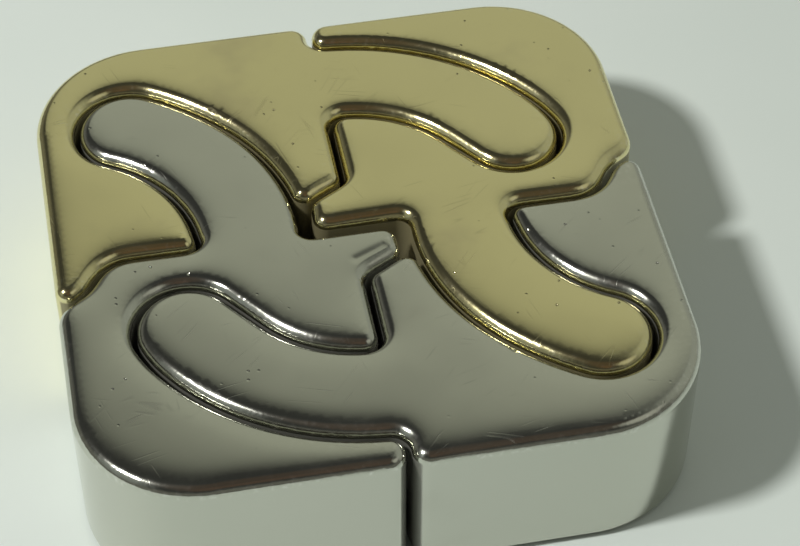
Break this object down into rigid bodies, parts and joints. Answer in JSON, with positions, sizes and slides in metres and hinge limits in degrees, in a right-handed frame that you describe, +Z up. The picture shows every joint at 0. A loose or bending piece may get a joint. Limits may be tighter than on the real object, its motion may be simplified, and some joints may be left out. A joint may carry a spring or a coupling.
{
  "type": "square interlocking metal puzzle",
  "caption": "Square cast metal puzzle with rounded corners, cut by curved grooves into gold and silver pieces whose fingers lap over one another.",
  "frame": {"origin": "centre of the underside of the assembled square", "axes": "+Z up through the thickness, +Y towards the gold pieces, +X to the right when the silver pieces are in front"},
  "size_m": [0.053, 0.053, 0.0148],
  "materials": {
    "gold_plating": "polished",
    "silver_plating": "polished"
  },
  "bodies": {
    "rear_right": {"gold_rear_right": "gold_plating"},
    "rear_left": {"gold_rear_left": "gold_plating"},
    "front_left": {"silver_front_left": "silver_plating"},
    "front_right": {"silver_front_right": "silver_plating"}
  },
  "joints": [
    {"name": "rear_left_lift", "type": "slide", "parent": "rear_right", "child": "rear_left", "axis": [0, 0, 1], "range_m": [0, 0.018]},
    {"name": "front_left_lift", "type": "slide", "parent": "rear_left", "child": "front_left", "axis": [0, 0, 1], "range_m": [0, 0.018]},
    {"name": "front_right_lift", "type": "slide", "parent": "front_left", "child": "front_right", "axis": [0, 0, 1], "range_m": [0, 0.018]}
  ]
}
